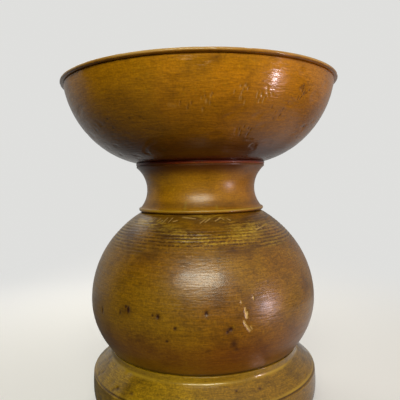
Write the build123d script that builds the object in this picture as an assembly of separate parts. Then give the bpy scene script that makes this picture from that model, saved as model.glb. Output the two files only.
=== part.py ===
"""A turned wooden pedestal bowl: a bowl that unscrews from a waisted neck, on a globe and a rounded base.

Sizes are in millimetres. The origin is the centre of the underside, and +Z points up the turning axis.
"""

import os
from math import acos, asin, atan2, cos, degrees, hypot, radians, sin, sqrt

from build123d import *

# Heights of the stacked pieces, from the floor up
base_lower_height = 29.2
base_upper_height = 15.8
globe_drop = 35.5
globe_rise = 63.3
bead_height = 2.8
neck_height = 30.6
collar_thickness = 2.4
bowl_height = 56.9

# Globe
globe_radius = 83.0
seat_inset = 14.0
shoulder_step = 1.4
shoulder_round = 0.8

# Base, two glued discs: the lower one rounded, the upper one bevelled up to a ring round the globe
base_overhang = 0.6
base_roll = 10.0
base_equator = 18.0
brow_inset = 0.6
bevel_rise = 11.6
bevel_cove = 3.0
ledge_width = 0.8
joint_groove = 1.0

# Neck
neck_foot_radius = 45.4
bead_overhang = 1.5
neck_waist = 4.8
throat_rise = 14.7
flange_flare = 2.6
flange_edge = 1.2

# Collar ring under the bowl
collar_overhang = 0.2
collar_bore_clearance = 1.0
collar_edge_round = 0.8

# Bowl
rim_radius = 100.0
lip_height = 2.4
lip_overhang = 2.2
lip_groove = 0.6
mouth_round = 1.5
bowl_foot_overhang = 0.4
bowl_bulge = 11.0
bowl_wall = 5.5
bowl_floor = 11.4
bowl_floor_sweep = 30.0

# Wooden screw that joins the bowl to the neck
screw_radius = 12.4
screw_pitch = 6.0
screw_turns = 3.0
screw_lead = 3.0
stub_cover = 4.4
thread_depth_per_pitch = 0.43
thread_crest_per_pitch = 0.23
thread_flank_per_pitch = 0.21
thread_clearance = 0.4
socket_lead_turns = 0.25
socket_relief = 2.0

# Tenons, and the wedge that spreads the lower one
neck_tenon_radius = 22.0
neck_tenon_length = 25.0
globe_tenon_radius = 24.0
tenon_recess = 1.5
kerf_mouth = 4.0
kerf_tip = 1.6
kerf_depth = 20.0
wedge_inset = 2.0
glue_gap = 0.1

# Levels that follow from the heights
joint_level = base_lower_height
seat_level = joint_level + base_upper_height
equator_level = seat_level + globe_drop
shoulder_level = equator_level + globe_rise
bead_level = shoulder_level + bead_height
neck_level = bead_level + neck_height
foot_level = neck_level + collar_thickness
floor_level = foot_level + bowl_floor
rim_level = foot_level + bowl_height

# Radii that follow from their neighbours
seat_radius = globe_radius - seat_inset
ring_radius = seat_radius + ledge_width
base_radius = globe_radius + base_overhang
brow_radius = base_radius - brow_inset
shoulder_radius = neck_foot_radius - shoulder_step
bead_radius = neck_foot_radius + bead_overhang
throat_radius = neck_foot_radius - neck_waist
flange_radius = neck_foot_radius + flange_flare
collar_radius = flange_radius + collar_overhang
bowl_foot_radius = collar_radius + bowl_foot_overhang

# The thread starts one lead above the tip of the screw and stops one lead below the bowl
thread_depth = thread_depth_per_pitch * screw_pitch
thread_crest = thread_crest_per_pitch * screw_pitch
thread_flank = thread_flank_per_pitch * screw_pitch
thread_level = foot_level - screw_lead - screw_turns * screw_pitch
screw_tip_level = thread_level - screw_lead
socket_level = screw_tip_level - socket_relief


def turned(*curves):
    """The solid that a closed outline of (radius, height) curves sweeps about the turning axis."""
    outline = make_face([edge for curve in curves for edge in curve.edges()])
    return revolve(Plane.XZ * outline, Axis.Z)


def oval_arc(centre, across, up, start, end):
    """The arc of an upright ellipse between two angles, given as on the circle it is stretched from."""
    middle = (start + end) / 2
    weight = cos(radians(end - middle))

    def point(angle, reach):
        turn = radians(angle)
        return (centre[0] + reach * across * cos(turn), centre[1] + reach * up * sin(turn))

    return Bezier(point(start, 1), point(middle, 1 / weight), point(end, 1), weights=[1, weight, 1])


def column(radius, low, high):
    """A round pin or hole on the axis between two levels."""
    return Pos(0, 0, low) * Cylinder(radius, high - low, align=(Align.CENTER, Align.CENTER, Align.MIN))


def thread(clearance, lead_in, turns):
    """The helical ridge of the screw; with a clearance and some lead-in turns, the groove it runs in."""
    root = screw_radius + clearance
    path = Helix(screw_pitch, screw_pitch * turns, root)
    slope = thread_flank / thread_depth
    crest = thread_crest / 2 + clearance
    foot = crest + slope * (thread_depth + thread_clearance)
    section = make_face(
        Polyline(
            (-thread_clearance, -foot),
            (thread_depth, -crest),
            (thread_depth, crest),
            (-thread_clearance, foot),
            close=True,
        )
    )
    ridge = sweep(Plane(path @ 0, x_dir=(1, 0, 0), z_dir=path % 0) * section, path, is_frenet=True)
    return Pos(0, 0, thread_level - lead_in * screw_pitch) * Rot(0, 0, -360 * lead_in) * ridge


def bun():
    """The whole base before it is parted at the glue line."""
    inner = base_radius - base_roll
    bore = globe_tenon_radius + glue_gap

    # The rounded side narrows a little from its widest level up to the brow at the glue line
    brow = degrees(acos((brow_radius - inner) / base_roll))
    upper = (joint_level - base_equator) / sin(radians(brow))

    # The bevel rises from the brow and turns upright into the ring through a cove
    slope = degrees(atan2(bevel_rise, brow_radius - ring_radius))
    cove_radius = ring_radius + bevel_cove
    tilt = radians(slope)
    cove_rise = (bevel_cove + (brow_radius - cove_radius) * sin(tilt)) / cos(tilt)
    cove = (cove_radius, joint_level + cove_rise)
    cove_foot = (cove[0] - bevel_cove * sin(tilt), cove[1] - bevel_cove * cos(tilt))
    body = turned(
        Line((bore, 0), (inner, 0)),
        oval_arc((inner, base_equator), base_roll, base_equator, -90, 0),
        oval_arc((inner, base_equator), base_roll, upper, 0, brow),
        Line((brow_radius, joint_level), cove_foot),
        CenterArc(cove, bevel_cove, 270 - slope, slope - 90),
        Polyline((ring_radius, cove[1]), (ring_radius, seat_level), (bore, seat_level), (bore, 0)),
    )
    groove = turned(
        Polyline(
            (brow_radius - joint_groove, joint_level),
            (brow_radius + joint_groove, joint_level - 2 * joint_groove),
            (brow_radius + joint_groove, joint_level + 2 * joint_groove),
            close=True,
        )
    )
    return body - groove


def base_lower():
    return split(bun(), Plane.XY.offset(joint_level), keep=Keep.BOTTOM)


def base_upper():
    return split(bun(), Plane.XY.offset(joint_level), keep=Keep.TOP)


def kerf(gap, length):
    """The tapered slot across the end of the tenon, or the wedge in it when a gap is left all round."""
    mouth = kerf_mouth / 2 - gap
    tip = kerf_tip / 2 - gap
    section = make_face(
        Polyline((-mouth, 0), (mouth, 0), (tip, kerf_depth - gap), (-tip, kerf_depth - gap), close=True)
    )
    return Pos(0, 0, tenon_recess) * extrude(Plane.XZ * section, length / 2, both=True)


def globe():
    below = globe_drop / sqrt(1 - (seat_radius / globe_radius) ** 2)
    above = globe_rise / sqrt(1 - (shoulder_radius / globe_radius) ** 2)
    low_angle = degrees(acos(seat_radius / globe_radius))
    high_angle = degrees(acos(shoulder_radius / globe_radius))
    body = turned(
        Polyline(
            (0, shoulder_level),
            (0, tenon_recess),
            (globe_tenon_radius, tenon_recess),
            (globe_tenon_radius, seat_level),
            (seat_radius, seat_level),
        ),
        oval_arc((0, equator_level), globe_radius, below, -low_angle, 0),
        oval_arc((0, equator_level), globe_radius, above, 0, high_angle),
        Line((shoulder_radius, shoulder_level), (0, shoulder_level)),
    )
    rim = body.edges().group_by(Axis.Z)[-1]
    mortise_level = shoulder_level - neck_tenon_length - glue_gap
    mortise = column(neck_tenon_radius + glue_gap, mortise_level, shoulder_level)
    return fillet(rim, shoulder_round) - mortise - kerf(0, 3 * globe_tenon_radius)


def tenon_wedge():
    return kerf(glue_gap, 2 * (globe_tenon_radius - wedge_inset))


def neck():
    tenon_level = shoulder_level - neck_tenon_length
    flange_level = neck_level - flange_edge
    body = turned(
        Polyline(
            (0, neck_level),
            (0, tenon_level),
            (neck_tenon_radius, tenon_level),
            (neck_tenon_radius, shoulder_level),
            (neck_foot_radius, shoulder_level),
        ),
        ThreePointArc(
            (neck_foot_radius, shoulder_level),
            (bead_radius, shoulder_level + bead_height / 2),
            (neck_foot_radius, bead_level),
        ),
        ThreePointArc(
            (neck_foot_radius, bead_level),
            (throat_radius, bead_level + throat_rise),
            (flange_radius, flange_level),
        ),
        Polyline((flange_radius, flange_level), (flange_radius, neck_level), (0, neck_level)),
    )
    socket = column(screw_radius + thread_clearance, socket_level, neck_level)
    return body - socket - thread(thread_clearance, socket_lead_turns, screw_turns + 1)


def collar_ring():
    bore = screw_radius + thread_depth + collar_bore_clearance
    disc = column(collar_radius, neck_level, foot_level)
    return fillet(disc.edges(), collar_edge_round) - column(bore, neck_level, foot_level)


def bowl():
    foot = (bowl_foot_radius, foot_level)
    lip_level = rim_level - lip_height
    wall_top = (rim_radius - lip_overhang, lip_level - lip_groove)
    lip_root = rim_radius - lip_height / 2

    # The wall is one arc from the foot to the lip
    across = wall_top[0] - foot[0]
    up = wall_top[1] - foot[1]
    chord = hypot(across, up)
    wall_radius = (chord**2 / 4 + bowl_bulge**2) / (2 * bowl_bulge)
    reach = (wall_radius - bowl_bulge) / chord
    centre = ((foot[0] + wall_top[0]) / 2 - reach * up, (foot[1] + wall_top[1]) / 2 + reach * across)
    crown = (centre[0] + wall_radius * up / chord, centre[1] - wall_radius * across / chord)
    outside = turned(
        Polyline((0, rim_level), (0, foot_level), foot),
        ThreePointArc(foot, crown, wall_top),
        Polyline(wall_top, (wall_top[0] - lip_groove, lip_level), (lip_root, lip_level)),
        ThreePointArc(
            (lip_root, lip_level),
            (rim_radius, lip_level + lip_height / 2),
            (lip_root, rim_level),
        ),
        Line((lip_root, rim_level), (0, rim_level)),
    )

    # The hollow keeps an even wall, and sweeps into a flat floor
    inner = wall_radius - bowl_wall
    sweep_level = floor_level + bowl_floor_sweep
    sweep_radius = centre[0] + sqrt((inner - bowl_floor_sweep) ** 2 - (centre[1] - sweep_level) ** 2)
    blend = degrees(atan2(sweep_level - centre[1], sweep_radius - centre[0]))
    mouth = degrees(asin((rim_level - centre[1]) / inner))
    mouth_radius = centre[0] + sqrt(inner**2 - (rim_level - centre[1]) ** 2)
    hollow = turned(
        Polyline((mouth_radius, rim_level), (0, rim_level), (0, floor_level), (sweep_radius, floor_level)),
        CenterArc((sweep_radius, sweep_level), bowl_floor_sweep, -90, blend + 90),
        CenterArc(centre, inner, blend, mouth - blend),
    )
    socket = column(screw_radius + glue_gap, foot_level, floor_level - stub_cover + glue_gap)
    dish = outside - hollow
    mouth_edge = dish.edges().group_by(Axis.Z)[-1].sort_by(SortBy.LENGTH)[0]
    return fillet(mouth_edge, mouth_round) - socket


def bowl_screw():
    shaft = column(screw_radius, screw_tip_level, floor_level - stub_cover)
    tip = shaft.edges().group_by(Axis.Z)[0]
    return chamfer(tip, thread_crest) + thread(0, 0, screw_turns)


os.makedirs("parts", exist_ok=True)
for piece in (base_lower, base_upper, globe, tenon_wedge, neck, collar_ring, bowl, bowl_screw):
    export_step(piece(), f"parts/{piece.__name__}.step")
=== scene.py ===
"""Looks of the turned pedestal bowl: lathe-made wooden pieces with tool marks, dents and worn varnish."""

from math import acos, asin, atan2, cos, degrees, hypot, pi, radians, sin, sqrt

import bmesh
import bpy
import numpy as np
from mathutils import Matrix, Vector


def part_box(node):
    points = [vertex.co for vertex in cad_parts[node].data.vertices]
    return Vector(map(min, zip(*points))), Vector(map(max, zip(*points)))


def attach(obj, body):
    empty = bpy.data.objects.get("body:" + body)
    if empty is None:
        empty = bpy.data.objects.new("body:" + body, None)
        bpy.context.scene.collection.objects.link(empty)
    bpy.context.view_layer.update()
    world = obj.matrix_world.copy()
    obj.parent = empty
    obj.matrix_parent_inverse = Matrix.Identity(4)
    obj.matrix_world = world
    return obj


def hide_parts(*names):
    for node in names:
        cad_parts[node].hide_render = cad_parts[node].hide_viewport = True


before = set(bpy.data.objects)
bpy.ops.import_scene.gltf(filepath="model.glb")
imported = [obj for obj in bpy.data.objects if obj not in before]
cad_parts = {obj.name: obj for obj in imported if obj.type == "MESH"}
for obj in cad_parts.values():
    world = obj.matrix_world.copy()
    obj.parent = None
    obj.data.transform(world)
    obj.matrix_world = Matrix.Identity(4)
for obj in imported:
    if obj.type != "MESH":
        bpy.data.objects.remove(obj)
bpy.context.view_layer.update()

MM = 0.001

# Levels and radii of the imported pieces, in millimetres
joint_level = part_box("base_lower")[1][2] / MM
seat_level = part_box("base_upper")[1][2] / MM
shoulder_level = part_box("globe")[1][2] / MM
neck_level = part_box("neck")[1][2] / MM
foot_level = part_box("bowl")[0][2] / MM
rim_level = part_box("bowl")[1][2] / MM
base_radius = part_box("base_lower")[1][0] / MM
globe_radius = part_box("globe")[1][0] / MM
flange_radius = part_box("neck")[1][0] / MM
collar_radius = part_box("collar_ring")[1][0] / MM
rim_radius = min(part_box("bowl")[1][:2]) / MM

# Sizes of the turned outlines that a box doesn't show
base_equator = 18.0
base_roll = 10.0
brow_inset = 0.6
bevel_rise = 11.6
bevel_cove = 3.0
ring_radius = 69.8
ring_edge_worn = 0.35
joint_groove = 1.0
tenon_bore = 24.1
tenon_radius = 24.0
tenon_recess = 1.5
kerf_mouth = 4.0
kerf_tip = 1.6
kerf_depth = 20.0
seat_radius = 69.0
seat_gap = 0.4
seat_blend = 1.0
globe_drop = 35.5
shoulder_radius = 44.0
shoulder_round = 0.8
tooled_level = 110.0
tool_pitch = 2.5
mortise_bore = 22.1
mortise_depth = 25.1
neck_tenon_radius = 22.0
neck_tenon_length = 25.0
neck_foot_radius = 45.4
bead_radius = 46.9
bead_height = 2.8
throat_radius = 40.6
throat_rise = 14.7
flange_edge = 1.2
flange_edge_worn = 0.3
screw_bore = 15.4
screw_bore_depth = 26.0
collar_bore = 16.0
collar_edge_round = 0.8
lip_height = 2.4
lip_overhang = 2.2
lip_groove = 0.6
mouth_round = 1.5
bowl_foot_radius = 48.6
bowl_bulge = 11.0
bowl_wall = 5.5
bowl_floor = 11.4
bowl_floor_sweep = 30.0
stub_bore = 12.5
stub_depth = 7.1

equator_level = seat_level + globe_drop
bead_level = shoulder_level + bead_height


# Outlines, as lists of (radius, level) points

def straight(start, end, spacing):
    """Evenly spaced points on a line, without its end."""
    count = max(1, round(hypot(end[0] - start[0], end[1] - start[1]) / spacing))
    return [(start[0] + (end[0] - start[0]) * i / count, start[1] + (end[1] - start[1]) * i / count)
            for i in range(count)]


def oval(centre, across, up, start, end, spacing):
    """Points on an upright ellipse between two angles, without the end."""
    count = max(2, round(radians(abs(end - start)) * max(across, up) / spacing))
    turns = [radians(start + (end - start) * i / count) for i in range(count)]
    return [(centre[0] + across * cos(turn), centre[1] + up * sin(turn)) for turn in turns]


def arc_through(start, middle, end, spacing):
    """Points on the circle through three points, without the end."""
    ax, ay = middle[0] - start[0], middle[1] - start[1]
    bx, by = end[0] - start[0], end[1] - start[1]
    cross = 2 * (ax * by - ay * bx)
    cx = (by * (ax * ax + ay * ay) - ay * (bx * bx + by * by)) / cross
    cy = (ax * (bx * bx + by * by) - bx * (ax * ax + ay * ay)) / cross
    centre = (start[0] + cx, start[1] + cy)
    radius = hypot(cx, cy)
    first, through, last = (
        degrees(atan2(level - centre[1], across - centre[0]))
        for across, level in (start, middle, end)
    )
    sweep = (last - first) % 360
    if (through - first) % 360 > sweep:
        sweep -= 360
    return oval(centre, radius, radius, first, first + sweep, spacing)


def base_lower_outline():
    """The lower disc of the base: a flat bottom and a rounded edge, cut back at the incised joint."""
    inner = base_radius - base_roll
    brow_radius = base_radius - brow_inset
    brow = degrees(acos((brow_radius - inner) / base_roll))
    upper = (joint_level - base_equator) / sin(radians(brow))
    edge = degrees(asin((joint_level - joint_groove - base_equator) / upper))
    edge_radius = inner + base_roll * cos(radians(edge))
    tip = (brow_radius - joint_groove, joint_level)
    return (
        straight((tenon_bore, 0), (inner, 0), 2.5)
        + oval((inner, base_equator), base_roll, base_equator, -90, 0, 0.8)
        + oval((inner, base_equator), base_roll, upper, 0, edge, 0.8)
        + straight((edge_radius, joint_level - joint_groove), tip, 0.3)
        + straight(tip, (tenon_bore, joint_level), 8)
        + straight((tenon_bore, joint_level), (tenon_bore, 0), 8)
    )


def base_upper_outline():
    """The upper disc of the base: a bevel, a cove and the ring round the globe."""
    brow_radius = base_radius - brow_inset
    slope = atan2(bevel_rise, brow_radius - ring_radius)
    tip = (brow_radius - joint_groove, joint_level)
    cut = joint_groove / (sin(slope) + cos(slope))
    brow = (brow_radius - cut * cos(slope), joint_level + cut * sin(slope))
    cove_radius = ring_radius + bevel_cove
    cove_rise = (bevel_cove + (brow_radius - cove_radius) * sin(slope)) / cos(slope)
    cove = (cove_radius, joint_level + cove_rise)
    cove_foot = (cove[0] - bevel_cove * sin(slope), cove[1] - bevel_cove * cos(slope))
    worn = ring_edge_worn
    return (
        straight((tenon_bore, joint_level), tip, 8)
        + straight(tip, brow, 0.3)
        + straight(brow, cove_foot, 0.6)
        + oval(cove, bevel_cove, bevel_cove, 270 - degrees(slope), 180, 0.25)
        + straight((ring_radius, cove[1]), (ring_radius, seat_level - worn), 0.4)
        + oval((ring_radius - worn, seat_level - worn), worn, worn, 0, 90, 0.15)
        + straight((ring_radius - worn, seat_level), (tenon_bore, seat_level), 4)
        + straight((tenon_bore, seat_level), (tenon_bore, joint_level), 8)
    )


def globe_outline():
    """The globe: two ovals that meet at its widest level, and the mortise in its top."""
    below = globe_drop / sqrt(1 - (seat_radius / globe_radius) ** 2)
    above = (shoulder_level - equator_level) / sqrt(1 - (shoulder_radius / globe_radius) ** 2)
    low = seat_blend - degrees(acos(seat_radius / globe_radius))
    high = degrees(acos((shoulder_radius + shoulder_round / 2) / globe_radius))
    tooled = degrees(asin((tooled_level - equator_level) / above))
    mortise_level = shoulder_level - mortise_depth
    return (
        straight((0, seat_level), (seat_radius - seat_gap, seat_level), 8)
        + straight((seat_radius - seat_gap, seat_level), (seat_radius, seat_level + seat_gap), 0.4)
        + oval((0, equator_level), globe_radius, below, low, 0, 1.0)
        + oval((0, equator_level), globe_radius, above, 0, tooled, 0.9)
        + oval((0, equator_level), globe_radius, above, tooled, high, 0.38)
        + straight((shoulder_radius - shoulder_round / 2, shoulder_level), (mortise_bore, shoulder_level), 3)
        + straight((mortise_bore, shoulder_level), (mortise_bore, mortise_level), 8)
        + straight((mortise_bore, mortise_level), (0, mortise_level), 8)
        + [(0, mortise_level)]
    )


def neck_outline():
    """The neck: its tenon, the bead at its foot, the hollow throat, the flange and the screw's socket."""
    flange_level = neck_level - flange_edge
    worn = flange_edge_worn
    tenon_level = shoulder_level - neck_tenon_length
    socket_level = neck_level - screw_bore_depth
    return (
        straight((0, tenon_level), (neck_tenon_radius, tenon_level), 8)
        + straight((neck_tenon_radius, tenon_level), (neck_tenon_radius, shoulder_level), 8)
        + straight((neck_tenon_radius, shoulder_level), (neck_foot_radius, shoulder_level), 4)
        + arc_through(
            (neck_foot_radius, shoulder_level),
            (bead_radius, shoulder_level + bead_height / 2),
            (neck_foot_radius, bead_level),
            0.3,
        )
        + arc_through(
            (neck_foot_radius, bead_level),
            (throat_radius, bead_level + throat_rise),
            (flange_radius, flange_level),
            0.5,
        )
        + straight((flange_radius, flange_level), (flange_radius, neck_level - worn), 0.4)
        + straight((flange_radius, neck_level - worn), (flange_radius - worn, neck_level), 0.3)
        + straight((flange_radius - worn, neck_level), (screw_bore, neck_level), 4)
        + straight((screw_bore, neck_level), (screw_bore, socket_level), 4)
        + straight((screw_bore, socket_level), (0, socket_level), 6)
        + [(0, socket_level)]
    )


def collar_outline():
    """The thin ring under the bowl, with rounded edges."""
    low = neck_level
    high = foot_level
    turn = collar_edge_round
    side = collar_radius - turn
    return (
        straight((collar_bore, low), (side, low), 4)
        + oval((side, low + turn), turn, turn, -90, 0, 0.2)
        + straight((collar_radius, low + turn), (collar_radius, high - turn), 0.3)
        + oval((side, high - turn), turn, turn, 0, 90, 0.2)
        + straight((side, high), (collar_bore, high), 4)
        + straight((collar_bore, high), (collar_bore, low), 1)
    )


def bowl_outline():
    """The bowl: its foot, the bulged wall, the rolled lip and the hollow."""
    foot = (bowl_foot_radius, foot_level)
    lip_level = rim_level - lip_height
    wall_top = (rim_radius - lip_overhang, lip_level - lip_groove)
    lip_root = rim_radius - lip_height / 2
    floor_level = foot_level + bowl_floor

    # The wall is one arc from the foot to the lip, and the hollow runs inside it at an even distance
    across = wall_top[0] - foot[0]
    up = wall_top[1] - foot[1]
    chord = hypot(across, up)
    wall_radius = (chord**2 / 4 + bowl_bulge**2) / (2 * bowl_bulge)
    reach = (wall_radius - bowl_bulge) / chord
    centre = ((foot[0] + wall_top[0]) / 2 - reach * up, (foot[1] + wall_top[1]) / 2 + reach * across)
    crown = (centre[0] + wall_radius * up / chord, centre[1] - wall_radius * across / chord)
    inner = wall_radius - bowl_wall
    sweep_level = floor_level + bowl_floor_sweep
    sweep_radius = centre[0] + sqrt((inner - bowl_floor_sweep) ** 2 - (centre[1] - sweep_level) ** 2)
    blend = degrees(atan2(sweep_level - centre[1], sweep_radius - centre[0]))
    mouth_level = rim_level - mouth_round
    mouth = degrees(asin((mouth_level - centre[1]) / inner))
    mouth_radius = centre[0] + inner * cos(radians(mouth))
    return (
        straight((0, foot_level + stub_depth), (stub_bore, foot_level + stub_depth), 6)
        + straight((stub_bore, foot_level + stub_depth), (stub_bore, foot_level), 4)
        + straight((stub_bore, foot_level), foot, 4)
        + arc_through(foot, crown, wall_top, 0.42)
        + straight(wall_top, (wall_top[0] - lip_groove, lip_level), 0.3)
        + straight((wall_top[0] - lip_groove, lip_level), (lip_root, lip_level), 0.4)
        + oval((lip_root, rim_level - lip_height / 2), lip_height / 2, lip_height / 2, -90, 90, 0.25)
        + straight((lip_root, rim_level), (mouth_radius + mouth_round, rim_level), 0.6)
        + oval((mouth_radius + mouth_round, mouth_level), mouth_round, mouth_round, 90, 180, 0.3)
        + oval(centre, inner, inner, mouth, blend, 1.2)
        + oval((sweep_radius, sweep_level), bowl_floor_sweep, bowl_floor_sweep, blend, -90, 1.2)
        + straight((sweep_radius, floor_level), (0, floor_level), 2)
        + [(0, floor_level)]
    )


# Turning an outline into a mesh

sharp_angle = radians(40)
weld_distance = 1e-7


def weave(seed, turn, run, around, along, waves=32):
    """Smooth noise of order one that closes on itself round a piece."""
    chance = np.random.default_rng(seed)
    total = 0
    for _ in range(waves):
        swells = int(chance.integers(-around, around + 1))
        pitch = chance.uniform(-1, 1) * 2 * pi / along
        total = total + np.cos(swells * turn + pitch * run + chance.uniform(0, 2 * pi))
    return total / sqrt(waves / 2)


def stroke(grid, start, end, half_width):
    """A mark from one (angle, level) to another: 1 along its middle, fading to 0 past its half width."""
    turn, level, radius = grid
    middle = radians((start[0] + end[0]) / 2)
    across = ((turn - middle + pi) % (2 * pi) - pi) * radius
    ax = (radians(start[0]) - middle) * radius
    bx = (radians(end[0]) - middle) * radius
    dx, dy = bx - ax, end[1] - start[1]
    length = np.maximum(dx * dx + dy * dy, 1e-9)
    along = np.clip(((across - ax) * dx + (level - start[1]) * dy) / length, 0, 1)
    away = np.hypot(across - ax - along * dx, level - start[1] - along * dy)
    return np.clip((1.5 * half_width - away) / half_width, 0, 1)


def dent(grid, at, across, up):
    """A soft round hollow at (angle, level)."""
    turn, level, radius = grid
    aside = ((turn - radians(at[0]) + pi) % (2 * pi) - pi) * radius
    return np.exp(-((aside / across) ** 2) - ((level - at[1]) / up) ** 2)


def turned(name, body, solid, material, outline, sides, cut, fine=()):
    """A lathe-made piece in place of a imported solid.

    cut(grid, run) gives the depth of its marks and their masks. Each row of fine is a first angle, a last
    angle and a count of columns that are added between them, where small marks lie.
    """
    points = np.array(outline())
    closed = points[0][0] > 0
    after = np.roll(points, -1, 0) if closed else np.vstack([points[1:], points[-1:]])
    before = np.roll(points, 1, 0) if closed else np.vstack([points[:1], points[:-1]])
    along = after - before
    normal = np.stack([along[:, 1], -along[:, 0]], 1) / np.maximum(np.hypot(*along.T), 1e-9)[:, None]
    run = np.concatenate([[0], np.cumsum(np.hypot(*np.diff(points, axis=0).T))])

    turns = [np.linspace(-pi, pi, sides, endpoint=False)]
    turns += [np.radians(np.linspace(low, high, count)) for low, high, count in fine]
    turns = np.unique(np.concatenate(turns).round(6))
    turn, level = np.meshgrid(turns, points[:, 1])
    radius = np.broadcast_to(points[:, :1], turn.shape)
    lengths = np.broadcast_to(run[:, None], turn.shape)
    depth, masks = cut((turn, level, radius), lengths)
    reach = radius - depth * normal[:, :1]
    height = level - depth * normal[:, 1:]
    places = np.stack([reach * np.sin(turn), -reach * np.cos(turn), height], -1) * MM

    rows, columns = turn.shape
    row = np.arange(rows if closed else rows - 1)[:, None]
    column = np.arange(columns)[None, :]
    below = row * columns
    above = (row + 1) % rows * columns
    beside = (column + 1) % columns
    quads = np.stack([below + column, below + beside, above + beside, above + column], -1)
    mesh = bpy.data.meshes.new(name)
    mesh.from_pydata(places.reshape(-1, 3).tolist(), [], quads.reshape(-1, 4).tolist())
    layers = {"run": lengths}
    for kind in ("dark", "ruddy", "pale", "worn", "torn", "ridge", "flake"):
        layers[kind] = np.clip(masks.get(kind, 0 * turn), 0, 1)
    for kind, values in layers.items():
        layer = mesh.attributes.new(kind, "FLOAT", "POINT")
        layer.data.foreach_set("value", values.astype(np.float32).ravel())
    if not closed:
        work = bmesh.new()
        work.from_mesh(mesh)
        bmesh.ops.remove_doubles(work, verts=work.verts, dist=weld_distance)
        work.to_mesh(mesh)
        work.free()
    mesh.shade_smooth()
    mesh.set_sharp_from_angle(angle=sharp_angle)
    mesh.materials.append(material)
    piece = bpy.data.objects.new(name, mesh)
    bpy.context.collection.objects.link(piece)
    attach(piece, body)
    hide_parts(solid)


# Tool marks, dents, wear and painted light and shade, as depths in millimetres and masks from 0 to 1

def ease(value, low, high):
    """0 below low, 1 above high, and a smooth step between."""
    part = np.clip((value - low) / (high - low), 0, 1)
    return part * part * (3 - 2 * part)


def fade(value, low, high):
    """1 below low, 0 above high, and a smooth step between."""
    return ease(-value, -high, -low)


def band(level, middle, half):
    """A soft line round a piece: 1 at its middle level, fading above and below."""
    return np.exp(-(((level - middle) / half) ** 2))


def patches(seed, turn, run, around, along, middle, swing):
    """Smooth noise that swings about a middle value, kept between 0 and 1."""
    return np.clip(middle + swing * weave(seed, turn, run, around, along), 0, 1)


def scattered(seed, count, low, high, depth, flat=1.0):
    """Marks round the sides and back, each as (angle, level, half width, half height, depth)."""
    chance = np.random.default_rng(seed)
    sizes = chance.uniform(1.5, 2.6, (count, 2))
    angles = chance.uniform(70, 290, count)
    levels = chance.uniform(low, high, count)
    return np.column_stack([angles, levels, sizes[:, 0], flat * sizes[:, 1], np.full(count, depth)])


def dented(grid, marks, shade):
    """Depth and darkness of marks given as (angle, level, half width, half height, depth)."""
    depth = 0
    dark = 0
    for angle, height, across, up, sunk in marks:
        spot = dent(grid, (angle, height), across, up)
        depth = depth + sunk * spot
        dark = np.maximum(dark, shade * spot)
    return depth, dark


def stained(grid, stains):
    """Darkness of stains given as (angle, level, half width, half height, strength)."""
    dark = 0
    for angle, height, across, up, strength in stains:
        dark = np.maximum(dark, strength * dent(grid, (angle, height), across, up))
    return dark


shoulder_rings = (
    # level, strength
    (118, 0.0),
    (123, 0.5),
    (126, 1.0),
    (132, 1.0),
    (135, 0.4),
    (138, 0.3),
    (141, 0.3),
    (144, 0.5),
)
shoulder_ring_depth = 0.32
globe_ripple_depth = 0.05
chip_depth = 0.35
scratch_depth = 0.14
rubbed_patch = (29, 131.5)
flaked_levels = (121, 128)
ruddy_globe_levels = (58, 82)

globe_pits = (
    # angle, level, half width, half height, depth
    (-53, 82, 0.8, 1.8, 0.5),
    (-34.2, 87.6, 1.2, 2.4, 0.7),
    (-35.6, 89.2, 0.9, 1.0, 0.5),
    (-38.9, 84.8, 0.8, 0.8, 0.35),
    (-19.2, 85.9, 1.1, 1.5, 0.6),
    (-21.6, 86.4, 0.7, 0.7, 0.35),
    (-11.8, 79.7, 0.9, 0.9, 0.45),
    (1.1, 88.6, 1.0, 1.4, 0.55),
    (10.9, 78.7, 1.5, 1.2, 0.75),
    (9.6, 77.2, 0.8, 1.1, 0.5),
    (-15.5, 71.4, 0.8, 0.6, 0.3),
)
globe_stains = (
    # angle, level, half width, half height, strength
    (12.4, 69.6, 2.1, 3.4, 0.85),
    (13.4, 65.9, 1.8, 1.4, 0.7),
    (1.5, 65.4, 2.0, 0.9, 0.45),
    (-35.2, 87.2, 4.0, 4.0, 0.6),
    (-19.6, 85.8, 2.6, 2.2, 0.55),
    (10.4, 77.6, 3.4, 2.8, 0.55),
    (1.1, 88.2, 1.8, 1.8, 0.35),
    (-29, 103.6, 1.4, 1.1, 0.35),
    (-24, 103.6, 1.4, 1.1, 0.35),
    (-19, 95.6, 1.5, 1.1, 0.4),
    (16.3, 122.8, 3.4, 2.2, 0.6),
    (24.5, 110, 2.2, 2.4, 0.35),
    (-29, 135.3, 13, 1.8, 0.4),
    (-53, 131.5, 9, 4.4, 0.6),
    (-28, 140.2, 13, 2.2, 0.4),
    (6, 140.2, 16, 1.8, 0.35),
)
globe_chips = (
    # two ends as (angle, level), half width
    ((17.3, 90.2), (17.5, 87.6), 0.5),
    ((17.6, 87.4), (17.9, 84.6), 0.6),
    ((18.1, 88.0), (18.3, 86.0), 0.4),
    ((16.6, 82.8), (17.2, 80.8), 0.45),
    ((17.4, 80.6), (18.2, 78.6), 0.5),
    ((18.3, 78.4), (19.3, 76.4), 0.45),
    ((19.6, 79.0), (20.3, 77.6), 0.28),
    ((15.8, 94.1), (15.8, 93.6), 0.3),
    ((21.5, 95.8), (21.6, 94.9), 0.38),
)
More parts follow.
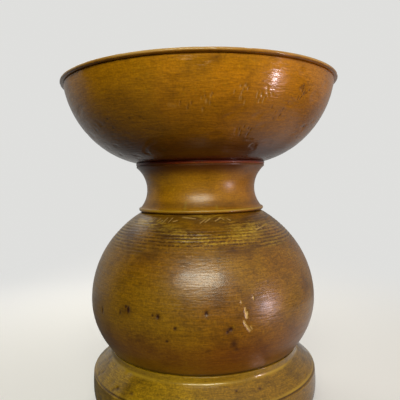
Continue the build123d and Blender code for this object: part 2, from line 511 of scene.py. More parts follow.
globe_scratches = (
    # two ends as (angle, level), half width
    ((-40, 139.5), (-39.5, 140.5), 0.3),
    ((-35.5, 139.5), (-34.5, 141), 0.3),
    ((-32, 139), (-31.5, 140), 0.3),
    ((-29.5, 139), (-28, 141.5), 0.3),
    ((-25, 139), (-23.5, 141.5), 0.3),
    ((-21.5, 139.5), (-18.5, 140), 0.3),
    ((-15.5, 142), (-4.5, 141), 0.3),
    ((-1, 138.5), (2.5, 140.5), 0.3),
    ((2.5, 139), (6.5, 141), 0.3),
    ((10, 139.5), (14.5, 141), 0.3),
    ((14.5, 141.5), (17, 140), 0.2),
    ((20, 140.5), (22, 139.5), 0.3),
    ((37.5, 133), (46.5, 134.5), 0.3),
    ((41, 135), (43, 133), 0.3),
)
globe_bright = (
    # angle, level, half width, half height, strength
    (29, 131.5, 13, 4.2, 1.0),
    (-28, 140.4, 12, 2.0, 0.25),
    (0, 141.4, 16, 1.6, 0.25),
    (18, 135.4, 6, 1.6, 0.3),
    (-12, 130, 26, 3.8, 0.35),
    (46, 126, 10, 3.0, 0.5),
)


def globe_cut(grid, run):
    """Pits, chips, scratches and stains of the globe, and the torn rings of its tooled shoulder, with
    painted highlights on the ring crests and painted shadows beside the scratches.
    """
    turn, level, radius = grid
    face = (level > seat_level + 0.1) & (radius > shoulder_radius - 1)
    tooled = ease(level, tooled_level + 5, tooled_level + 14) * face
    wander = 0.9 * weave(11, turn, run, around=5, along=60)
    ridge = 0.5 + 0.5 * np.cos(2 * pi * run / tool_pitch + wander)
    patchy = np.maximum(0.1, patches(12, turn, run, around=7, along=16, middle=0.62, swing=0.4))
    ring_levels, ring_strengths = zip(*shoulder_rings)
    lined = np.interp(level, ring_levels, ring_strengths) * face
    depth = shoulder_ring_depth * lined * ridge * patchy
    depth = depth + globe_ripple_depth * patches(13, turn, run, around=3, along=5, middle=0.5, swing=0.3)

    pits, pit_dark = dented(grid, globe_pits, shade=1.5)
    knocks, knock_dark = dented(grid, scattered(16, 10, low=62, high=100, depth=0.4), shade=0.9)
    depth = depth + pits + knocks
    dark = np.maximum.reduce([pit_dark, knock_dark, stained(grid, globe_stains)])
    chipped = 0 * turn
    for start, end, half_width in globe_chips:
        chip = stroke(grid, start, end, half_width)
        depth = depth + chip_depth * chip
        chipped = np.maximum(chipped, chip)
    scratched = 0 * turn
    for start, end, half_width in globe_scratches:
        line = stroke(grid, start, end, half_width)
        depth = depth + scratch_depth * line
        scratched = np.maximum(scratched, line)
        # A painted shadow runs beside each scratch, a little to its right and below it; groove here is that
        # shadow
        beside = [(angle + 0.9, height - 0.5) for angle, height in (start, end)]
        groove = stroke(grid, *beside, 0.8 * half_width) * (1 - line)
        dark = np.maximum(dark, 0.65 * groove)

    foot = fade(level, seat_level + 1.0, seat_level + 3.4)
    bright = (0.06 + 0.2 * weave(14, turn, run, around=6, along=14)) * ease(level, *flaked_levels)
    for angle, height, across, up, strength in globe_bright:
        bright = bright + strength * dent(grid, (angle, height), across, up)
    broken = patches(15, turn, run, around=30, along=3, middle=0.7, swing=0.5)
    yellow = 0.6 * broken * dent(grid, rubbed_patch, 11, 3.4)
    # Painted highlight on the crests between the tooled rings towards the left and right sides, laid in
    # through the worn mask
    crest = (1 - ridge) ** 3 * lined * patchy * ease(np.abs(turn), 0.45, 0.8)
    right_side = ease(turn, 0.2, 0.9)
    masks = {
        "dark": face * np.maximum(dark, foot),
        "ruddy": face * 0.3 * fade(level, *ruddy_globe_levels) * (1 - 0.5 * right_side),
        "pale": np.maximum(chipped, 0.45 * scratched),
        "worn": face * np.maximum(yellow, 0.5 * crest),
        "torn": tooled * patchy,
        "ridge": lined * ridge,
        "flake": tooled * np.clip(bright, 0, 1),
    }
    return depth * face, masks


bowl_dents = (
    # angle, level, half width, half height, depth
    (40.3, 219.2, 1.2, 1.0, 0.3),
    (57, 198, 1.2, 1.0, 0.35),
    (52, 195, 1.4, 0.8, 0.35),
    (-51.5, 190, 2.4, 0.8, 0.3),
    (16, 195, 1.0, 1.4, 0.3),
)
bowl_pecks = (
    # angle, level, spread across, spread up, count, share of pale edge, which is bare wood and painted glint
    (15.4, 214.4, 4.4, 4.6, 11, 0.5),
    (23.4, 213.4, 4.6, 3.2, 10, 0.7),
    (42.4, 217.8, 6.0, 3.8, 13, 0.0),
    (2.5, 210.0, 3.0, 5.0, 8, 0.4),
    (-7.0, 207.8, 7.0, 2.6, 8, 0.2),
    (33.0, 205.0, 7.0, 4.0, 7, 0.0),
    (55.0, 197.0, 8.0, 3.6, 10, 0.0),
    (19.0, 195.0, 7.0, 3.4, 8, 0.0),
    (-47.0, 202.0, 11.0, 5.0, 14, 0.0),
    (-24.0, 203.0, 12.0, 4.0, 9, 0.0),
)
bowl_stains = (
    # angle, level, half width, half height, strength
    (-49, 203, 5.0, 5.0, 0.45),
    (-44, 197, 5.0, 3.5, 0.4),
    (-51.5, 190, 4.0, 1.4, 0.6),
    (22, 190.5, 4.5, 1.2, 0.6),
    (5.5, 231.4, 2.6, 1.0, 0.4),
    (-6, 208, 5.0, 2.0, 0.25),
    (2, 210, 3.0, 2.2, 0.25),
    (40.3, 219.4, 2.6, 1.6, 0.45),
    (43.6, 216, 3.4, 1.6, 0.3),
)
bowl_ripple_depth = 0.06
bowl_dimple_depth = 0.2
lip_nick_depth = 0.25
pecked_radius = 90.0
foot_darkening_levels = (204, 226)
ruddy_shade_levels = (183, 196)


def bowl_cut(grid, run):
    """Pecks, dents and stains of the bowl's wall and its rubbed and nicked lip, with painted glints on the
    pecks, a painted reflection on the lip's top and painted shade under the lip and at the foot.
    """
    turn, level, radius = grid
    lip_level = rim_level - lip_height
    widest = run[np.argmax(radius[:, 0]), 0]
    wall = (run < widest) & (radius > bowl_foot_radius) & (level < lip_level - lip_groove)
    lip = (radius > rim_radius - lip_height) & (level > lip_level + 0.1)
    depth = bowl_ripple_depth * patches(21, turn, run, around=4, along=6, middle=0.5, swing=0.3)
    dimples = np.clip(weave(22, turn, run, around=38, along=9, waves=48) - 1.0, 0, 1.2)
    depth = depth + bowl_dimple_depth * dimples

    dents, dent_dark = dented(grid, bowl_dents, shade=0.3)
    knocks, knock_dark = dented(grid, scattered(26, 9, low=196, high=226, depth=0.25), shade=0.4)
    depth = depth + dents + knocks
    dark = np.maximum.reduce([dent_dark, knock_dark, stained(grid, bowl_stains)])
    pale = 0 * turn
    chance = np.random.default_rng(27)
    for angle, height, across, up, count, bared_and_lit in bowl_pecks:
        for _ in range(count):
            aside, rise = chance.normal(0, 0.5, 2)
            place = (angle + degrees(aside * across / pecked_radius), height + rise * up)
            width = chance.uniform(0.4, 0.65)
            tall = chance.uniform(0.7, 1.3)
            peck = dent(grid, place, width, tall)
            depth = depth + chance.uniform(0.14, 0.26) * peck
            dark = np.maximum(dark, (0.8 - 0.6 * bared_and_lit) * peck)
            # The pale left edge of each peck is bare wood with a painted glint, a lit side beside the dark
            # hollow
            lit_edge_angle = place[0] - degrees(0.8 * width / pecked_radius)
            edge = dent(grid, (lit_edge_angle, place[1]), 0.7 * width, tall)
            pale = np.maximum(pale, 0.6 * bared_and_lit * edge)

    nicks = np.clip(weave(23, turn, run, around=60, along=40, waves=40) - 1.1, 0, 1)
    depth = depth * wall + lip_nick_depth * nicks * lip * (level > lip_level + 0.3)
    # The top of the lip is paler: rubbed varnish and a painted reflection
    rubbed = 0.6 * ease(level, rim_level - 0.8 * lip_height, rim_level - 0.5 * lip_height)
    rubbed = rubbed * patches(24, turn, run, around=24, along=3, middle=0.8, swing=0.3)
    left_side = 0.3 * fade(turn, -1.2, -0.6)
    # The underside of the lip roll is darkened with painted shade
    under_lip_shade = 0.35 * fade(level, lip_level, rim_level - 0.75 * lip_height)
    # The wall is darker towards the foot
    foot_darkening = 0.33 * fade(level, *foot_darkening_levels)
    masks = {
        "dark": np.maximum(np.maximum(dark, foot_darkening) * wall, (0.05 + left_side + under_lip_shade) * lip),
        # Ruddy band at the foot of the wall: painted shade and a painted reflection of the dark neck
        "ruddy": 0.9 * fade(level, *ruddy_shade_levels) * wall + 0.25 * lip,
        "pale": np.maximum(pale * wall, rubbed * lip),
    }
    return depth, masks


def collar_cut(grid, run):
    """Painted shade on the upper half and the left side of the collar, and its rubbed edge."""
    turn, level, radius = grid
    middle = (neck_level + foot_level) / 2
    # Painted shade under the bowl on the upper half, and on the left side away from the light
    upper = 0.75 * ease(level, middle - 0.5, middle + 0.3)
    left_side = 0.7 * fade(turn, -0.8, -0.1)
    edge = band(level, middle - 0.7, 0.3) * (radius > collar_radius - 0.5)
    masks = {
        "dark": np.maximum(upper, left_side) * (radius > collar_radius - 2),
        "pale": 0.25 * edge * patches(51, turn, run, around=9, along=3, middle=0.5, swing=0.5),
    }
    return 0 * turn, masks


neck_drips = (
    # two ends as (angle, level), half width
    ((-14, 151.5), (-14, 146), 0.7),
    ((13.5, 149), (13.5, 146), 0.6),
)
neck_ripple_depth = 0.05


def neck_cut(grid, run):
    """The rubbed bead of the neck, drips of varnish, and the shade in its hollows."""
    turn, level, radius = grid
    outer = radius > throat_radius - 1
    face = outer & (level > shoulder_level + 0.05) & (level < neck_level - 0.05)
    depth = neck_ripple_depth * patches(31, turn, run, around=3, along=4, middle=0.5, swing=0.3)
    crest = shoulder_level + 0.68 * bead_height
    bead = band(level, crest, 0.6) * patches(32, turn, run, around=20, along=3, middle=0.8, swing=0.2)
    under = fade(level, shoulder_level + 0.4, crest - 0.5)
    valley = band(level, crest + 3.6, 2.6)
    drips = np.maximum.reduce([stroke(grid, *drip) for drip in neck_drips])
    corner = ease(level, neck_level - 9, neck_level - 1.5) * (1 - 0.6 * ease(turn, 0.4, 0.9))
    masks = {
        "worn": face * np.maximum(bead, 0.6 * drips),
        "dark": face * np.maximum.reduce([0.3 * corner, 0.5 * under, 0.42 * valley]),
        "ruddy": face * 0.8 * corner,
    }
    return depth * face, masks


base_specks = (
    # angle, level, half width, half height, depth
    (-67.1, 30.9, 1.1, 0.9, 0.4),
    (-65.1, 33.2, 0.9, 1.0, 0.4),
    (-47.6, 30.9, 1.1, 0.8, 0.4),
    (-45.6, 32.4, 1.4, 0.8, 0.4),
    (-36.4, 32.9, 1.0, 0.8, 0.35),
    (15, 37, 0.8, 0.6, 0.3),
    (27, 36, 1.4, 0.7, 0.25),
)
base_ripple_depth = 0.06
base_dimple_depth = 0.25


def base_cut(grid, run):
    """Specks and knocks of the base, its incised joint, and the rubbed edges above it, with a painted
    highlight on the right side of the edge above the joint.
    """
    turn, level, radius = grid
    face = (radius > seat_radius + 0.5) & (level > 0.3)
    depth = base_ripple_depth * patches(41, turn, run, around=3, along=5, middle=0.5, swing=0.3)
    dimples = np.clip(weave(42, turn, run, around=40, along=10, waves=48) - 1.2, 0, 1)
    depth = depth + base_dimple_depth * dimples
    specks, speck_dark = dented(grid, base_specks, shade=1.0)
    knocks, knock_dark = dented(grid, scattered(46, 12, low=22, high=40, depth=0.3, flat=0.6), shade=0.8)
    depth = depth + specks + knocks
    seam = band(level, joint_level, 0.6) * (radius < base_radius - brow_inset - 0.3)
    # Above the joint the edge is rubbed, and on the right side it also carries a painted highlight
    rub_and_highlight = 0.4 + 0.3 * weave(43, turn, run, around=9, along=9) + 0.5 * ease(turn, 0.4, 0.8)
    brow = band(level, joint_level + 1.0, 0.55) * np.clip(rub_and_highlight, 0, 1)
    ring = 0.2 * ease(level, seat_level - 5.5, seat_level - 3.5)
    cove = band(level, seat_level - 4.2, 0.9)
    cove = cove * patches(44, turn, run, around=10, along=9, middle=0.75, swing=0.3)
    under = (level < 0.3) * patches(45, turn, run, around=2, along=6, middle=0.5, swing=0.2)
    masks = {
        "dark": face * np.maximum.reduce([speck_dark, knock_dark, 0.8 * seam]),
        "worn": face * np.maximum.reduce([brow, ring, cove]),
        "pale": 0.6 * under,
    }
    return depth * face, masks


# Materials

def node(tree, kind, settings=None, inputs=None):
    """A shader node; an input that is given a socket is linked to it."""
    made = tree.nodes.new("ShaderNode" + kind)
    for name, value in (settings or {}).items():
        setattr(made, name, value)
    for name, value in (inputs or {}).items():
        if isinstance(value, bpy.types.NodeSocket):
            tree.links.new(value, made.inputs[name])
        else:
            made.inputs[name].default_value = value
    return made


def sums(tree, operation, first, second):
    """One step of arithmetic on two numbers or sockets."""
    return node(tree, "Math", {"operation": operation}, {0: first, 1: second}).outputs[0]


def remap(tree, value, low, high, to_low=0.0, to_high=1.0):
    """A value taken smoothly from one range to another."""
    inputs = {"Value": value, "From Min": low, "From Max": high, "To Min": to_low, "To Max": to_high}
    return node(tree, "MapRange", {"interpolation_type": "SMOOTHSTEP"}, inputs).outputs[0]


def noise(tree, vector, scale, detail=3.0, roughness=0.55):
    """Cloudy noise, about 0.5 in the middle."""
    inputs = {"Vector": vector, "Scale": scale, "Detail": detail, "Roughness": roughness}
    return node(tree, "TexNoise", None, inputs).outputs[0]


def mixed(tree, factor, first, second, mode="MIX"):
    """The second colour laid over the first."""
    made = node(tree, "Mix", {"data_type": "RGBA", "blend_type": mode}, {0: factor, 6: first, 7: second})
    return made.outputs[2]


def colour(red, green, blue):
    """An opaque colour."""
    return (red, green, blue, 1.0)


def mask(tree, name):
    """A mask or length that a mesh carries at its points."""
    return node(tree, "Attribute", {"attribute_name": name}).outputs["Fac"]


scuff_tone = (0.5, 0.28, 0.008)
flake_tone = (0.5, 0.33, 0.03)
wear_and_highlight_tone = (0.4, 0.255, 0.018)
stain_and_shade_tone = (0.034, 0.008, 0.001)
chip_and_glint_tone = (0.6, 0.4, 0.13)
pore_tone = (0.07, 0.035, 0.014)
dirt_tone = (0.09, 0.045, 0.018)


def varnished(name, amber, russet, umber, flush, figure, dull, sheen, gloss, softness, ripples):
    """Old varnished wood: streaks from the lathe, flecks, stains, chips to bare wood and rubbed edges.

    amber and russet are the tones of the wood, and russet is laid towards the right side as painted light
    and shade; umber is its dark grain and flush is its ruddy colour, which is partly painted shade.
    figure is how strong the grain is, dull and sheen are the roughness and gloss of the wood itself,
    gloss and softness are those of the varnish over it, and ripples is how uneven it is.
    """
    material = bpy.data.materials.new(name)
    material.use_nodes = True
    tree = material.node_tree
    shader = tree.nodes["Principled BSDF"]
    place = node(tree, "TexCoord").outputs["Object"]
    spot = node(tree, "SeparateXYZ", None, {0: place})
    run = mask(tree, "run")

    def turned_noise(around, along, detail, roughness):
        """Noise that changes slowly round the piece and quickly along its outline."""
        parts = {
            0: sums(tree, "MULTIPLY", spot.outputs[0], around),
            1: sums(tree, "MULTIPLY", spot.outputs[1], around),
            2: sums(tree, "MULTIPLY", run, along),
        }
        return noise(tree, node(tree, "CombineXYZ", None, parts).outputs[0], 1.0, detail, roughness)

    streak = turned_noise(34, 0.9, 5, 0.6)
    fibre = turned_noise(190, 1.8, 3, 0.6)
    fleck = turned_noise(420, 0.8, 2, 0.5)
    ripple = turned_noise(150, 0.75, 2, 0.5)
    tick = turned_noise(620, 0.32, 2, 0.5)
    dots = turned_noise(560, 0.42, 1, 0.5)
    dashes = turned_noise(130, 0.5, 4, 0.65)
    mottle = noise(tree, place, 60, 6, 0.68)
    peel = noise(tree, place, 420)
    speckle = noise(tree, place, 800, 2, 0.7)
    # Cloudy colour of the wood, shifted from amber on the left to russet on the right; the shift is painted
    # light and shade across the piece
    tone_and_side_light = sums(tree, "ADD", noise(tree, place, 16), sums(tree, "MULTIPLY", spot.outputs[0], 2.2))

    dark_grain = colour(*umber)
    base = mixed(tree, remap(tree, tone_and_side_light, 0.4, 0.66), colour(*amber), colour(*russet))
    base = mixed(tree, remap(tree, streak, 0.28, 0.5, 0.24 * figure, 0.0), base, dark_grain)
    base = mixed(tree, remap(tree, mottle, 0.46, 0.7, 0.0, 0.5 * figure), base, dark_grain)
    base = mixed(tree, remap(tree, fleck, 0.64, 0.72, 0.0, 0.4 * figure), base, dark_grain)
    grain = remap(tree, speckle, 0.3, 0.7, 1 - 0.2 * figure, 1 + 0.2 * figure)
    glow = remap(tree, fibre, 0.3, 0.7, 1 - 0.22 * figure, 1 + 0.22 * figure)
    glow = sums(tree, "MULTIPLY", glow, grain)
    glow = node(tree, "CombineColor", None, {0: glow, 1: glow, 2: glow}).outputs[0]
    base = mixed(tree, 1.0, base, glow, "MULTIPLY")
    scuffs = remap(tree, tick, 0.58, 0.72, 0.0, 0.3)
    scuffs = sums(tree, "MULTIPLY", scuffs, remap(tree, mottle, 0.6, 0.4))
    base = mixed(tree, scuffs, base, colour(*scuff_tone))

    # Torn rings of the tooled shoulder: dark dotted grooves with yellow flakes between them
    torn = mask(tree, "torn")
    groove = remap(tree, mask(tree, "ridge"), 0.3, 0.85)
    shade = sums(tree, "MULTIPLY", torn, remap(tree, dashes, 0.62, 0.42, 0.15, 0.7))
    base = mixed(tree, shade, base, dark_grain)
    dotted = sums(tree, "MULTIPLY", groove, remap(tree, dots, 0.56, 0.46, 0.1, 0.8))
    base = mixed(tree, dotted, base, dark_grain)
    flakes = sums(tree, "MULTIPLY", mask(tree, "flake"), 1.1)
    flakes = sums(tree, "MULTIPLY", flakes, remap(tree, dashes, 0.4, 0.55))
    flakes = sums(tree, "MULTIPLY", flakes, remap(tree, dots, 0.42, 0.58, 0.35, 1.0))
    flakes = sums(tree, "MULTIPLY", flakes, remap(tree, groove, 0.0, 0.8, 1.0, 0.15))
    base = mixed(tree, flakes, base, colour(*flake_tone))

    # Wear, ruddy tints, stains and chips lie over all of that; these masks also carry painted highlights,
    # glints and shade
    pale = mask(tree, "pale")
    base = mixed(tree, mask(tree, "worn"), base, colour(*wear_and_highlight_tone))
    base = mixed(tree, mask(tree, "ruddy"), base, colour(*flush))
    base = mixed(tree, mask(tree, "dark"), base, colour(*stain_and_shade_tone))
    base = mixed(tree, pale, base, colour(*chip_and_glint_tone))
    tree.links.new(base, shader.inputs["Base Color"])

    rough = remap(tree, streak, 0.3, 0.7, dull - 0.08, dull + 0.08)
    rough = sums(tree, "ADD", rough, sums(tree, "MULTIPLY", pale, 0.25))
    rough = sums(tree, "ADD", rough, sums(tree, "MULTIPLY", torn, 0.1))
    tree.links.new(rough, shader.inputs["Roughness"])
    shader.inputs["Specular IOR Level"].default_value = sheen
    shader.inputs["Coat Weight"].default_value = gloss
    shader.inputs["Coat Roughness"].default_value = softness

    height = sums(tree, "MULTIPLY", torn, dashes)
    for part, share in ((streak, 0.5), (fibre, 0.25), (peel, 0.15), (ripple, ripples)):
        height = sums(tree, "ADD", height, sums(tree, "MULTIPLY", part, share))
    relief = {"Strength": 0.6, "Distance": 0.00012, "Height": height}
    bump = node(tree, "Bump", None, relief).outputs[0]
    tree.links.new(bump, shader.inputs["Normal"])
    tree.links.new(bump, shader.inputs["Coat Normal"])
    return material


def bare(name, summer, spring):
    """Unvarnished wood with growth rings, dry and slightly dirty."""
    material = bpy.data.materials.new(name)
    material.use_nodes = True
    tree = material.node_tree
    shader = tree.nodes["Principled BSDF"]
    place = node(tree, "TexCoord").outputs["Object"]
    pith = node(tree, "Mapping", None, {"Vector": place, "Location": (0.011, 0.034, 0.0)}).outputs[0]
    rings = {"Vector": pith, "Scale": 150.0, "Distortion": 2.2, "Detail": 3.0, "Detail Scale": 0.4}
    rings = node(tree, "TexWave", {"wave_type": "RINGS", "rings_direction": "Z"}, rings).outputs["Fac"]
    along = node(tree, "Mapping", None, {"Vector": place, "Scale": (700, 700, 40)}).outputs[0]
    pores = noise(tree, along, 1.0, 3, 0.6)
    dirt = noise(tree, place, 70, 5, 0.65)
    base = mixed(tree, remap(tree, rings, 0.15, 0.9), colour(*summer), colour(*spring))
    base = mixed(tree, remap(tree, pores, 0.56, 0.7, 0.0, 0.45), base, colour(*pore_tone))
    base = mixed(tree, remap(tree, dirt, 0.48, 0.74, 0.0, 0.5), base, colour(*dirt_tone))
    tree.links.new(base, shader.inputs["Base Color"])
    tree.links.new(remap(tree, pores, 0.3, 0.7, 0.75, 0.55), shader.inputs["Roughness"])
    height = sums(tree, "SUBTRACT", sums(tree, "MULTIPLY", rings, 0.5), pores)
    relief = {"Strength": 0.5, "Distance": 0.00015, "Height": height}
    bump = node(tree, "Bump", None, relief).outputs[0]
    tree.links.new(bump, shader.inputs["Normal"])
    return material


shaded_red = (0.1, 0.014, 0.001)
bowl_wood = varnished(
    "bowl_wood",
    amber=(0.37, 0.16, 0.001),
    russet=(0.5, 0.198, 0.001),
    umber=(0.06, 0.018, 0.001),
    flush=shaded_red,
    figure=0.7,
    dull=0.46,
    sheen=0.1,
    gloss=0.8,
    softness=0.13,
    ripples=2.8,
)
neck_wood = varnished(
    "neck_wood",
    amber=(0.34, 0.154, 0.001),
    russet=(0.33, 0.132, 0.001),
    umber=(0.07, 0.026, 0.001),
    flush=shaded_red,
    figure=0.7,
    dull=0.46,
    sheen=0.2,
    gloss=0.62,
    softness=0.29,
    ripples=1.0,
)
globe_wood = varnished(
    "globe_wood",
    amber=(0.24, 0.119, 0.001),
    russet=(0.21, 0.088, 0.001),
    umber=(0.045, 0.015, 0.001),
    flush=(0.22, 0.03, 0.001),
    figure=1.0,
    dull=0.37,
    sheen=0.45,
    gloss=0.4,
    softness=0.28,
    ripples=2.2,
)
base_wood = varnished(
    "base_wood",
    amber=(0.31, 0.182, 0.003),
    russet=(0.225, 0.121, 0.003),
    umber=(0.06, 0.028, 0.002),
    flush=shaded_red,
    figure=1.2,
    dull=0.46,
    sheen=0.2,
    gloss=0.95,
    softness=0.12,
    ripples=0.8,
)
collar_wood = varnished(
    "collar_wood",
    amber=(0.4, 0.036, 0.004),
    russet=(0.34, 0.028, 0.004),
    umber=(0.05, 0.01, 0.002),
    flush=shaded_red,
    figure=0.6,
    dull=0.46,
    sheen=0.2,
    gloss=0.5,
    softness=0.2,
    ripples=0.8,
)
bare_wood = bare("bare_wood", summer=(0.2, 0.11, 0.045), spring=(0.4, 0.26, 0.12))
wedge_wood = bare("wedge_wood", summer=(0.1, 0.045, 0.018), spring=(0.2, 0.095, 0.04))


# Pieces

def tenon():
    """The end of the globe's tenon, split by the kerf, as it shows in the underside."""
    work = bmesh.new()
    steps = 48
    levels = (tenon_recess, tenon_recess + kerf_depth, seat_level)
    gaps = (kerf_mouth / 2, kerf_tip / 2, kerf_tip / 2)
    for side in (1, -1):
        rings = []
        for level, gap in zip(levels, gaps):
            swing = acos(gap / tenon_radius)
            turns = np.linspace(-swing, swing, steps)
            edge = [(side * tenon_radius * cos(turn), tenon_radius * sin(turn), level) for turn in turns]
            rings.append([work.verts.new([size * MM for size in place]) for place in edge])
        for low, high in zip(rings, rings[1:]):
            for i in range(len(low)):
                j = (i + 1) % len(low)
                work.faces.new((low[i], low[j], high[j], high[i]))
        work.faces.new(rings[0])
        work.faces.new(rings[-1])
    bmesh.ops.recalc_face_normals(work, faces=work.faces)
    mesh = bpy.data.meshes.new("globe_tenon")
    work.to_mesh(mesh)
    work.free()
    mesh.shade_smooth()
    mesh.set_sharp_from_angle(angle=sharp_angle)
    mesh.materials.append(bare_wood)
    piece = bpy.data.objects.new("globe_tenon", mesh)
    bpy.context.collection.objects.link(piece)
    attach(piece, "pedestal")


turned(
    "base_lower_turned",
    body="pedestal",
    solid="base_lower",
    material=base_wood,
    outline=base_lower_outline,
    sides=360,
    cut=base_cut,
)
turned(
    "base_upper_turned",
    body="pedestal",
    solid="base_upper",
    material=base_wood,
    outline=base_upper_outline,
    sides=360,
    cut=base_cut,
)
turned(
    "globe_turned",
    body="pedestal",
    solid="globe",
    material=globe_wood,
    outline=globe_outline,
    sides=300,
    cut=globe_cut,
    fine=[(-58, 50, 260)],
)
turned(
    "neck_turned",
    body="pedestal",
    solid="neck",
    material=neck_wood,
    outline=neck_outline,
    sides=360,
    cut=neck_cut,
)
turned(
    "collar_turned",
    body="collar",
    solid="collar_ring",
    material=collar_wood,
    outline=collar_outline,
    sides=240,
    cut=collar_cut,
)
turned(
    "bowl_turned",
    body="bowl",
    solid="bowl",
    material=bowl_wood,
    outline=bowl_outline,
    sides=360,
    cut=bowl_cut,
    fine=[(-8, 11, 96), (11, 50, 196)],
)
tenon()
for plain, material in (("bowl_screw", bare_wood), ("tenon_wedge", wedge_wood)):
    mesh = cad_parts[plain].data
    mesh.materials.clear()
    mesh.materials.append(material)

# Camera, with its tilt down and its roll in degrees

camera_place = (-0.00073, -0.3307, 0.1667)
camera_tilt = 2.737
camera_roll = 1.175
camera = bpy.data.objects.new("camera", bpy.data.cameras.new("camera"))
bpy.context.collection.objects.link(camera)
camera.data.lens = 39.0
camera.data.clip_start = 0.01
camera.matrix_world = (
    Matrix.Translation(camera_place)
    @ Matrix.Rotation(radians(90 - camera_tilt), 4, "X")
    @ Matrix.Rotation(radians(-camera_roll), 4, "Z")
)
bpy.context.scene.camera = camera

# Lights

def area_light(name, place, target, size, power, tint, in_gloss=True):
    """A soft oval light that the camera doesn't see."""
    lamp = bpy.data.lights.new(name, "AREA")
    lamp.shape = "ELLIPSE"
    lamp.size, lamp.size_y = size
    lamp.energy = power
    lamp.color = tint
    holder = bpy.data.objects.new(name, lamp)
    bpy.context.collection.objects.link(holder)
    holder.location = place
    holder.rotation_euler = (Vector(target) - Vector(place)).to_track_quat("-Z", "Y").to_euler()
    holder.visible_camera = False
    holder.visible_glossy = in_gloss


area_light(
    "key_light",
    place=(-0.02, -0.88, 0.67),
    target=(0, 0, 0.14),
    size=(0.76, 0.27),
    power=7.9,
    tint=(1, 0.96, 0.78),
)
area_light(
    "front_light",
    place=(-0.03, -0.8, 0.33),
    target=(0, 0, 0.09),
    size=(0.4, 0.12),
    power=0.2,
    tint=(1, 0.94, 0.76),
)
area_light(
    "back_light",
    place=(-0.12, 0.52, 0.66),
    target=(0, 0, 0.12),
    size=(0.9, 0.5),
    power=2.0,
    tint=(1, 0.97, 0.88),
)
area_light(
    "rear_light",
    place=(-0.16, 0.54, 0.31),
    target=(0, 0, 0.1),
    size=(0.9, 0.36),
    power=2.2,
    tint=(1, 0.96, 0.84),
    in_gloss=False,
)
area_light(
    "fill_light",
    place=(0.42, -0.24, 0.075),
    target=(0, 0, 0.13),
    size=(0.12, 0.22),
    power=0.22,
    tint=(1, 0.58, 0.54),
)
area_light(
    "side_light",
    place=(0.49, -0.3, 0.06),
    target=(0, 0, 0.13),
    size=(0.026, 0.11),
    power=0.52,
    tint=(1, 0.84, 0.92),
)

# Stage and surroundings

surround_level = 0.74
surround_tone = (1, 1, 0.98)
floor_front = -2.5
floor_side = 3.0
wall_back = 0.62
wall_height = 2.0
wall_bend = 0.25


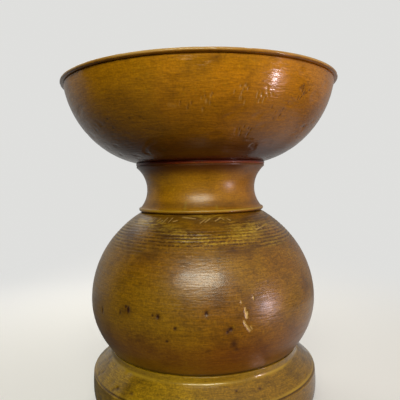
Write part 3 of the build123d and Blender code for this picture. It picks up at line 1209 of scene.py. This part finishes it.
def floor_material():
    """A pale floor with the object's shadow, which reflects little of itself in the varnish."""
    material = bpy.data.materials.new("floor")
    material.use_nodes = True
    tree = material.node_tree
    tree.nodes.clear()
    path = node(tree, "LightPath").outputs
    camera_ray = path["Is Camera Ray"]
    glossy_ray = path["Is Glossy Ray"]
    place = node(tree, "TexCoord").outputs["Object"]
    depth = node(tree, "SeparateXYZ", None, {0: place}).outputs[1]
    pale = mixed(tree, camera_ray, colour(0.09, 0.09, 0.09), colour(0.5, 0.5, 0.49))
    dull = node(tree, "BsdfDiffuse", None, {"Color": pale}).outputs[0]

    # It is lifted a little where it is seen, and beside the object, where the varnish mirrors it
    seen = sums(tree, "MAXIMUM", glossy_ray, path["Is Transmission Ray"])
    seen = sums(tree, "MAXIMUM", seen, camera_ray)
    far = sums(tree, "MULTIPLY", seen, remap(tree, depth, -0.1, 0.62, 0.0, 0.3))
    near = sums(tree, "MULTIPLY", camera_ray, remap(tree, depth, 0.0, 0.6, 0.3, 0.2))
    lit_spot = node(tree, "CombineXYZ", None, {0: 0.25, 1: 0.04}).outputs[0]
    away = node(tree, "VectorMath", {"operation": "DISTANCE"}, {0: place, 1: lit_spot}).outputs["Value"]
    beside = sums(tree, "MULTIPLY", glossy_ray, remap(tree, away, 0.28, 0.08, 0.0, 0.42))
    lift = sums(tree, "ADD", sums(tree, "ADD", far, near), beside)
    lit = node(tree, "Emission", None, {"Color": colour(*surround_tone), "Strength": lift}).outputs[0]
    both = node(tree, "AddShader", None, {0: dull, 1: lit}).outputs[0]

    # Far from the object it fades into the even tone of the surroundings
    reach = node(tree, "VectorMath", {"operation": "LENGTH"}, {0: place}).outputs["Value"]
    fading = sums(tree, "MULTIPLY", camera_ray, remap(tree, reach, 0.2, 0.56))
    even = {"Color": colour(*surround_tone), "Strength": surround_level}
    even = node(tree, "Emission", None, even).outputs[0]
    faded = node(tree, "MixShader", None, {0: fading, 1: both, 2: even}).outputs[0]
    node(tree, "OutputMaterial", None, {"Surface": faded})
    return material


def sweep():
    """The floor, curving up into a backdrop."""
    turns = np.linspace(0, pi / 2, 24)
    bend = [(wall_back - wall_bend + wall_bend * sin(t), wall_bend - wall_bend * cos(t)) for t in turns]
    line = [(floor_front, 0.0), *bend, (wall_back, wall_height)]
    corners = [(x, y, z) for y, z in line for x in (-floor_side, floor_side)]
    quads = [(2 * i, 2 * i + 1, 2 * i + 3, 2 * i + 2) for i in range(len(line) - 1)]
    mesh = bpy.data.meshes.new("floor")
    mesh.from_pydata(corners, [], quads)
    mesh.shade_smooth()
    mesh.materials.append(floor_material())
    floor = bpy.data.objects.new("floor", mesh)
    bpy.context.collection.objects.link(floor)


def surroundings():
    """An even pale room to the camera, and a dim one, brighter above and to the right, to the varnish."""
    world = bpy.data.worlds.new("world")
    world.use_nodes = True
    bpy.context.scene.world = world
    tree = world.node_tree
    path = node(tree, "LightPath").outputs
    seen = sums(tree, "MAXIMUM", path["Is Camera Ray"], path["Is Transmission Ray"])
    way = node(tree, "SeparateXYZ", None, {0: node(tree, "TexCoord").outputs["Generated"]}).outputs
    right = sums(tree, "MULTIPLY", way[0], 0.8)
    above = sums(tree, "MULTIPLY", way[2], 0.6)
    dim = remap(tree, sums(tree, "ADD", right, above), 0.1, 0.95, 0.015, 0.42)
    background = tree.nodes["Background"]
    strength = remap(tree, seen, 0.0, 1.0, dim, surround_level)
    tree.links.new(strength, background.inputs["Strength"])
    tint = mixed(tree, seen, colour(1, 0.85, 0.85), colour(*surround_tone))
    tree.links.new(tint, background.inputs["Color"])


sweep()
surroundings()
bpy.context.scene.view_settings.view_transform = "Standard"
